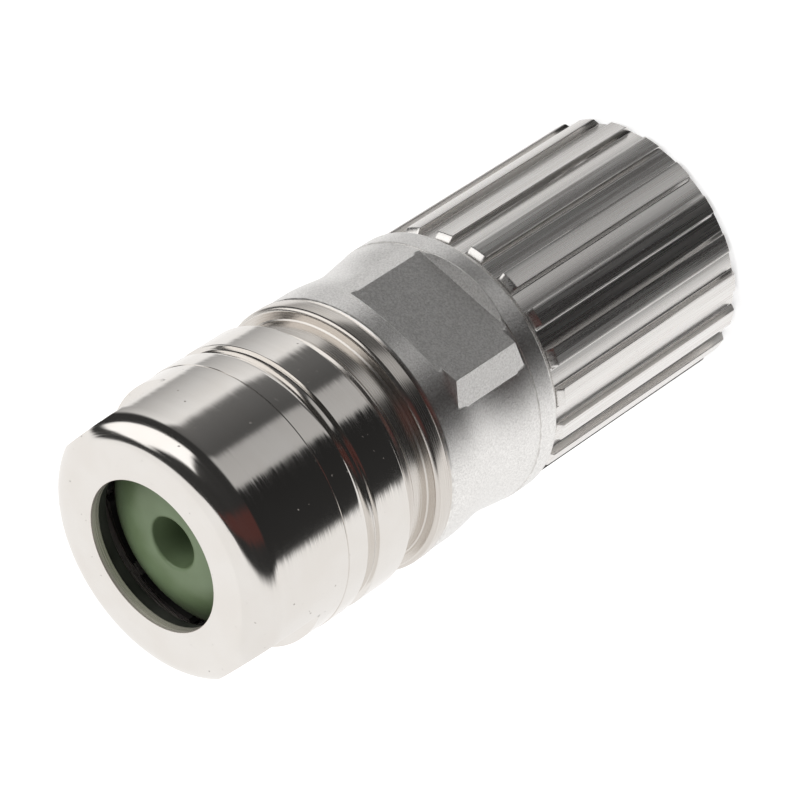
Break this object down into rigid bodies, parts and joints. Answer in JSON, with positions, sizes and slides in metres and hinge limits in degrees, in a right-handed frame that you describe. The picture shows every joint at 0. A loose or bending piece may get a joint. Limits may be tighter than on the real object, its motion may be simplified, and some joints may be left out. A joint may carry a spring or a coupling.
{
  "type": "circular cable socket",
  "caption": "Straight shielded circular cable connector with a ribbed coupling nut, wrench flats on its body and a gland nut that clamps the cable through a soft seal.",
  "frame": {"origin": "centre of the coupling nut's open end, on the surface that the connector stands on", "axes": "+Z along the connector's axis from the mating end up to the cable end, -Y out of one wrench flat of the body"},
  "size_m": [0.0266, 0.0266, 0.0648],
  "materials": {
    "nickel": "bright nickel plating on turned brass",
    "cast_nickel": "nickel plating, blasted matte on the body, polished on the flange",
    "spring_steel": "bright spring steel",
    "green_rubber": "matte grey-green elastomer",
    "black_rubber": "satin black elastomer",
    "black_plastic": "satin black moulding",
    "white_plastic": "natural off-white moulding",
    "gold": "gold plating"
  },
  "bodies": {
    "housing": {"housing": "cast_nickel", "snap_ring": "spring_steel", "interface_o_ring": "black_rubber", "cable_seal": "green_rubber", "clamping_cage": "black_plastic", "shield_ring": "nickel", "distance_shell_a": "white_plastic", "distance_shell_b": "white_plastic", "rear_insulator": "white_plastic", "contact_carrier": "black_plastic", "socket_contact_01": "gold", "socket_contact_02": "gold", "socket_contact_03": "gold", "socket_contact_04": "gold", "socket_contact_05": "gold", "socket_contact_06": "gold", "socket_contact_07": "gold", "socket_contact_08": "gold", "socket_contact_09": "gold", "socket_contact_10": "gold", "socket_contact_11": "gold", "socket_contact_12": "gold"},
    "coupling_nut": {"coupling_nut": "nickel"},
    "slip_ring": {"slip_ring": "black_plastic"},
    "gland_nut": {"gland_nut": "nickel"}
  },
  "joints": [
    {"name": "coupling_turn", "type": "hinge", "parent": "housing", "child": "coupling_nut", "pos_m": [0, 0, 0.01285], "axis": [0, 0, 1], "continuous": true},
    {"name": "gland_travel", "type": "slide", "parent": "housing", "child": "slip_ring", "axis": [0, 0, 1], "range_m": [0, 0.0051]},
    {"name": "gland_turn", "type": "hinge", "parent": "slip_ring", "child": "gland_nut", "pos_m": [0, 0, 0.0554], "axis": [0, 0, 1], "range_deg": [0, 1800]}
  ],
  "couplings": [
    {"joint": "gland_travel", "follows": "gland_turn", "m_per_rad": 0.00015915}
  ]
}
